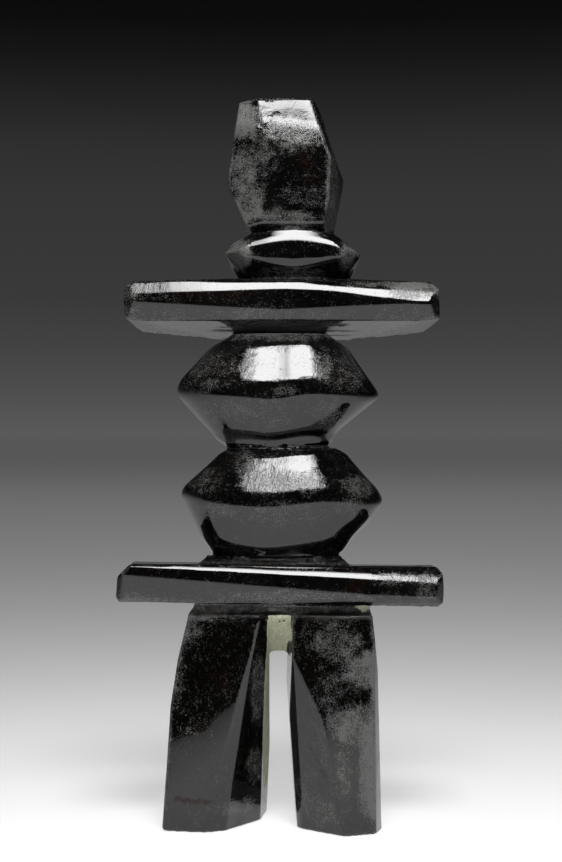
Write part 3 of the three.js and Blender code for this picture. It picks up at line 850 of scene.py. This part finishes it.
def stone_material(looks, groups):
    """Black stone under a hand polish, frosted in patches, and raw pale stone between the legs."""
    material, tree = new_material("polished_black_serpentine")
    place = place_node(tree, "ShaderNodeTexCoord").outputs["Object"]
    frost, raw, tooled, worn_and_rim_sheen, seam, brushed = (
        place_node(tree, "ShaderNodeAttribute", attribute_name=mask).outputs["Fac"]
        for mask in ("frost", "raw", "tooled", "worn_and_rim_sheen", "seam", "brushed"))
    height_up = place_node(tree, "ShaderNodeSeparateXYZ", {0: place}).outputs[2]
    upright = ramp(tree, height_up, 0.104, 0.098)
    # Ridges are frosted lighter: partly wear, partly a painted highlight along the arrises.
    amount = sum_up(tree, "MULTIPLY_ADD", worn_and_rim_sheen, 0.4, frost)
    amount = sum_up(tree, "MULTIPLY_ADD", seam, -0.6, amount)

    frosting = use_group(tree, groups["frost"], vector=place, amount=amount, patch_scale=300.0,
                         grain_scale=1700.0, sharpness=6.0, upright=upright)
    scratches = use_group(tree, groups["scratch"], vector=place, lean=-0.5, scale=900.0, rarity=0.70)
    crossing = use_group(tree, groups["scratch"], vector=place, lean=0.9, scale=1300.0, rarity=0.74)
    flecks = use_group(tree, groups["fleck"], vector=place, scale=800.0, size=0.14, share=0.05)

    stain = ramp(tree, grain(tree, place, 55.0, 5.0, 0.62), 0.56, 0.72)
    cloud = ramp(tree, grain(tree, place, 38.0, 3.0, 0.5), 0.42, 0.7)
    dark = blend_colours(tree, cloud, colour(looks.stone_colour), colour(looks.cloud_colour))
    dark = blend_colours(tree, upright, dark, colour(looks.leg_colour))
    dark = blend_colours(tree, sum_up(tree, "MULTIPLY", stain, 0.6), dark, colour(looks.stain_colour))
    dark = blend_colours(tree, frosting, dark, colour(looks.frost_colour))
    dark = blend_colours(tree, sum_up(tree, "MULTIPLY", flecks, 0.7), dark, colour(looks.fleck_colour))
    dark = blend_colours(tree, seam, dark, colour(looks.seam_colour))

    rasp = grain(tree, stretched(tree, place, (1.0, 1.0, 0.16)), 1500.0, 3.0, 0.6)
    blotch = sum_up(tree, "MULTIPLY", ramp(tree, grain(tree, place, 210.0, 4.0, 0.6), 0.35, 0.65), 0.4)
    blotch = sum_up(tree, "MULTIPLY_ADD", ramp(tree, rasp, 0.38, 0.62), 0.6, blotch)
    pale = blend_colours(tree, blotch, colour(looks.raw_colour), colour(looks.raw_dark_colour))
    raw_mask = ramp(tree, sum_up(tree, "MULTIPLY_ADD", grain(tree, place, 700.0), 0.5, raw), 0.55, 0.85)
    surface = blend_colours(tree, raw_mask, dark, pale)

    rough = ramp(tree, frosting, 0.0, 1.0, looks.polish_roughness, looks.frost_roughness)
    rough = sum_up(tree, "MULTIPLY_ADD", scratches, 0.12, rough)
    for mask, least in ((tooled, 0.5), (seam, 0.5), (raw_mask, 0.78)):
        rough = sum_up(tree, "MAXIMUM", rough, sum_up(tree, "MULTIPLY", mask, least), clamp=True)

    height = sum_up(tree, "MULTIPLY", frosting, grain(tree, place, 2200.0, 2.0, 0.6))
    leaned = place_node(tree, "ShaderNodeVectorRotate", {"Vector": place, "Angle": -0.2},
                        rotation_type="Y_AXIS").outputs[0]
    stroke = grain(tree, stretched(tree, leaned, (1.0, 0.6, 0.34)), 480.0, 4.0, 0.7)
    marks = ((scratches, -0.5), (crossing, -0.35), (sum_up(tree, "MULTIPLY", rasp, raw_mask), 9.0),
             (sum_up(tree, "MULTIPLY", stroke, brushed), 8.0))
    for mark, share in marks:
        height = sum_up(tree, "MULTIPLY_ADD", mark, share, height)
    bump = place_node(tree, "ShaderNodeBump", {"Strength": 0.5, "Distance": 0.00005, "Height": height})

    shader = place_node(tree, "ShaderNodeBsdfPrincipled", {
        "Base Color": surface, "Roughness": rough, "Normal": bump.outputs[0], "IOR": 1.56,
    })
    join_surface(tree, shader)
    return material


def floor_material(looks):
    """A pale floor, barely mottled, that glows by itself, a little more near the middle: painted light."""
    material, tree = new_material("pale_floor")
    place = place_node(tree, "ShaderNodeTexCoord").outputs["Object"]
    faint = ramp(tree, grain(tree, place, 14.0, 3.0), 0.3, 0.7)
    darker = [part * 0.985 for part in looks.floor_colour]
    shade = blend_colours(tree, faint, colour(looks.floor_colour), colour(darker))
    # Painted light: an emission on the floor, brightest near the middle, added to what the lamps give it.
    away = place_node(tree, "ShaderNodeVectorMath", {0: place}, operation="LENGTH").outputs["Value"]
    near = sum_up(tree, "POWER", 2.718, sum_up(tree, "MULTIPLY", sum_up(tree, "POWER", away, 2.0), -0.04))
    painted_floor_glow = sum_up(tree, "MULTIPLY_ADD", near, 0.08, 0.09)
    painted_floor_glow = place_node(tree, "ShaderNodeCombineColor", {0: painted_floor_glow, 1: painted_floor_glow, 2: painted_floor_glow}).outputs[0]
    shader = place_node(tree, "ShaderNodeBsdfPrincipled", {
        "Base Color": shade, "Roughness": 0.75, "Emission Color": painted_floor_glow, "Emission Strength": 1.0,
    })
    join_surface(tree, shader)
    return material


def black_material():
    """The dull black that the polish mirrors in front of the floor: a painted dark reflection on sheets that
    only reflections see.
    """
    material, tree = new_material("reflection_only_black")
    shader = place_node(tree, "ShaderNodeBsdfDiffuse", {"Color": (0.012, 0.012, 0.012, 1)})
    join_surface(tree, shader)
    return material


def colour_property(name, description, default):
    """A colour setting."""
    return FloatVectorProperty(name=name, description=description, default=default, size=3,
                               min=0.0, max=1.0, subtype="COLOR")


class InukshukLooks(bpy.types.PropertyGroup):
    """Colours and finish of the stone."""

    stone_colour: colour_property("Stone", "The polished stone", (0.0013, 0.0012, 0.0012))
    cloud_colour: colour_property("Clouds", "Slightly lighter clouds in it", (0.0032, 0.003, 0.0028))
    leg_colour: colour_property("Legs", "The browner stone of the legs", (0.0019, 0.0016, 0.0014))
    stain_colour: colour_property("Stains", "Reddish brown stains in it", (0.008, 0.0035, 0.0022))
    frost_colour: colour_property("Frosting", "Where the polish is frosted", (0.085, 0.086, 0.083))
    seam_colour: colour_property("Seams", "Thin brown seams in it", (0.012, 0.006, 0.004))
    fleck_colour: colour_property("Flecks", "Light grains in it", (0.10, 0.10, 0.085))
    raw_colour: colour_property("Raw stone", "Unpolished stone between the legs", (0.68, 0.69, 0.51))
    raw_dark_colour: colour_property("Raw shade", "Its darker blotches", (0.34, 0.35, 0.25))
    polish_roughness: FloatProperty(name="Polish", description="Roughness of the polish", default=0.03,
                                    min=0.0, max=1.0, subtype="FACTOR")
    frost_roughness: FloatProperty(name="Frost", description="Roughness of the frosting", default=0.36,
                                   min=0.0, max=1.0, subtype="FACTOR")


class InukshukStage(bpy.types.PropertyGroup):
    """The floor, the lights and the camera."""

    floor_colour: colour_property("Floor", "The pale floor", (0.86, 0.86, 0.86))
    softbox_power: FloatProperty(name="Softbox", description="Power of the lamp above the front",
                                 default=12.6, min=0.0, unit="POWER")
    overhead_power: FloatProperty(name="Overhead", description="Power of the broad lamp overhead",
                                  default=5.5, min=0.0, unit="POWER")
    softbox_distance: FloatProperty(name="Distance", description="From the figure to the softbox",
                                    default=1.2, min=0.3, unit="LENGTH")
    # Where the black sheets that only reflections see begin, a painted dark reflection; the floor itself goes
    # on.
    floor_front: FloatProperty(name="Floor front", description="How far the pale floor comes forward",
                               default=0.95, min=0.3, unit="LENGTH")
    lens: FloatProperty(name="Lens", description="Focal length", default=70.0, min=10.0, unit="CAMERA")


# The stage, in metres: how far the floor and the black cards reach, and where things stand
FLOOR_REACH = 40
FLOOR_LEVEL = -1e-4
CARD_REACH = 4
CARD_LEVEL = 4e-4
SCREEN_PLACE = -2
SCREEN_HEIGHT = 3
SOFTBOX_AIM = (0.0, 0.0, 0.2)
SOFTBOX_WAY = (0.062, -0.53, 0.84)
SOFTBOX_SIZE = (0.57, 0.39)
SOFTBOX_FEATHER = 0.2
OVERHEAD_PLACE = (0.0, -0.36, 0.68)
OVERHEAD_AIM = (0.0, -0.35, 0.0)
OVERHEAD_SIZE = (0.6, 0.6)
CAMERA_PLACE = (0.00054, -0.7889, 0.1837)
FILM_WIDTH = 36.0  # millimetres

# The world's brightness by how far up a view looks, from level to straight up
WORLD_STOPS = (
    (0.0, 0.1), (0.018, 0.081), (0.048, 0.056), (0.078, 0.042), (0.108, 0.0385), (0.137, 0.0356),
    (0.165, 0.029), (0.194, 0.0165), (0.216, 0.0086), (0.238, 0.004), (0.26, 0.003), (0.6, 0.005),
)


def make_plane(name, corners, material):
    """A plane with four corners."""
    mesh = bpy.data.meshes.new(name)
    mesh.from_pydata(corners, [], [(0, 1, 2, 3)])
    mesh.materials.append(material)
    made = bpy.data.objects.new(name, mesh)
    bpy.context.scene.collection.objects.link(made)
    return made


def area_lamp(name, place, aim, size, power):
    """A rectangular lamp that is aimed at a point and can't be seen itself."""
    lamp = bpy.data.lights.new(name, "AREA")
    lamp.shape = "RECTANGLE"
    lamp.size, lamp.size_y = size
    lamp.energy = power
    made = bpy.data.objects.new(name, lamp)
    made.location = place
    made.rotation_euler = (Vector(aim) - Vector(place)).to_track_quat("-Z", "Y").to_euler()
    made.visible_camera = False
    bpy.context.scene.collection.objects.link(made)
    return made


def soften_lamp(lamp, feather):
    """Fade a lamp out towards its edges, over a share of its sides."""
    lamp.use_nodes = True
    tree = lamp.node_tree
    place = place_node(tree, "ShaderNodeNewGeometry").outputs["Parametric"]
    share = 1.0
    for at in list(place_node(tree, "ShaderNodeSeparateXYZ", {0: place}).outputs)[:2]:
        from_edge = sum_up(tree, "MINIMUM", at, sum_up(tree, "SUBTRACT", 1.0, at))
        share = sum_up(tree, "MULTIPLY", share, ramp(tree, from_edge, 0.0, feather))
    tree.links.new(share, tree.nodes["Emission"].inputs["Strength"])


class INUKSHUK_OT_carve(bpy.types.Operator):
    """Carve the figure and give it its stone"""

    bl_idname = "inukshuk.carve"
    bl_label = "Carve the Inukshuk"

    def execute(self, context):
        piece = shaped_mesh("inukshuk_carving", CELL)
        groups = {"frost": frost_group(), "scratch": scratch_group(), "fleck": fleck_group()}
        piece.data.materials.append(stone_material(context.scene.inukshuk_looks, groups))
        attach(piece, "root")
        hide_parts("inukshuk")
        return {"FINISHED"}


class INUKSHUK_OT_stage(bpy.types.Operator):
    """Set up the floor, the lights and the camera"""

    bl_idname = "inukshuk.stage"
    bl_label = "Set the Stage"

    def execute(self, context):
        stage, scene = context.scene.inukshuk_stage, context.scene
        signs = ((-1, -1), (1, -1), (1, 1), (-1, 1))
        floor = make_plane("floor", [(FLOOR_REACH * a, FLOOR_REACH * b, FLOOR_LEVEL) for a, b in signs],
                           floor_material(stage))
        black = black_material()
        depths = {-1: SCREEN_PLACE, 1: -stage.floor_front}
        heights = {-1: 0, 1: SCREEN_HEIGHT}
        # Painted reflection: black sheets that the camera, diffuse light and shadows pass by, seen only in
        # the polish.
        cards = [
            make_plane("dark_card", [(CARD_REACH * a, depths[b], CARD_LEVEL) for a, b in signs], black),
            make_plane("dark_screen", [(CARD_REACH * a, SCREEN_PLACE, heights[b]) for a, b in signs], black),
        ]
        for card in cards:
            card.visible_camera = card.visible_diffuse = card.visible_shadow = False
            card.visible_transmission = card.visible_volume_scatter = False

        at = [aim + way * stage.softbox_distance for aim, way in zip(SOFTBOX_AIM, SOFTBOX_WAY)]
        softbox = area_lamp("softbox", at, SOFTBOX_AIM, SOFTBOX_SIZE, stage.softbox_power)
        soften_lamp(softbox.data, SOFTBOX_FEATHER)
        overhead = area_lamp("overhead", OVERHEAD_PLACE, OVERHEAD_AIM, OVERHEAD_SIZE, stage.overhead_power)
        overhead.visible_glossy = False
        overhead.data.use_shadow = False

        world = bpy.data.worlds.new("studio")
        world.use_nodes = True
        tree = world.node_tree
        tree.nodes.clear()
        way = place_node(tree, "ShaderNodeTexCoord").outputs["Generated"]
        up = place_node(tree, "ShaderNodeSeparateXYZ", {0: way}).outputs[2]
        fade = place_node(tree, "ShaderNodeValToRGB", {0: up})
        fade.color_ramp.elements.remove(fade.color_ramp.elements[1])
        for k, (at, bright) in enumerate(WORLD_STOPS):
            stop = fade.color_ramp.elements[0] if k == 0 else fade.color_ramp.elements.new(at)
            stop.position, stop.color = at, (bright, bright, bright, 1)
        back = place_node(tree, "ShaderNodeBackground", {"Color": fade.outputs[0], "Strength": 1.0})
        join_surface(tree, back, "ShaderNodeOutputWorld")
        scene.world = world

        lens = bpy.data.cameras.new("camera")
        lens.lens, lens.sensor_width = stage.lens, FILM_WIDTH
        lens.clip_start, lens.clip_end = 0.01, 100.0
        camera = bpy.data.objects.new("camera", lens)
        camera.location = CAMERA_PLACE
        camera.rotation_euler = (math.radians(90), 0, 0)
        scene.collection.objects.link(camera)
        scene.camera = camera
        scene.view_settings.view_transform = "Standard"
        return {"FINISHED"}


class INUKSHUK_PT_panel(bpy.types.Panel):
    """The figure's settings and steps"""

    bl_idname = "INUKSHUK_PT_panel"
    bl_label = "Inukshuk"
    bl_space_type = "VIEW_3D"
    bl_region_type = "UI"
    bl_category = "Inukshuk"

    def draw(self, context):
        for group, step in (("inukshuk_looks", "inukshuk.carve"), ("inukshuk_stage", "inukshuk.stage")):
            settings = getattr(context.scene, group)
            box = self.layout.box()
            for name in settings.bl_rna.properties.keys():
                if name not in ("rna_type", "name"):
                    box.prop(settings, name)
            box.operator(step)


CLASSES = (InukshukLooks, InukshukStage, INUKSHUK_OT_carve, INUKSHUK_OT_stage, INUKSHUK_PT_panel)


def register():
    for made in CLASSES:
        bpy.utils.register_class(made)
    bpy.types.Scene.inukshuk_looks = PointerProperty(type=InukshukLooks)
    bpy.types.Scene.inukshuk_stage = PointerProperty(type=InukshukStage)


def unregister():
    del bpy.types.Scene.inukshuk_looks
    del bpy.types.Scene.inukshuk_stage
    for made in reversed(CLASSES):
        bpy.utils.unregister_class(made)


def main():
    register()
    bpy.ops.inukshuk.carve()
    bpy.ops.inukshuk.stage()


if __name__ == "__main__":
    main()
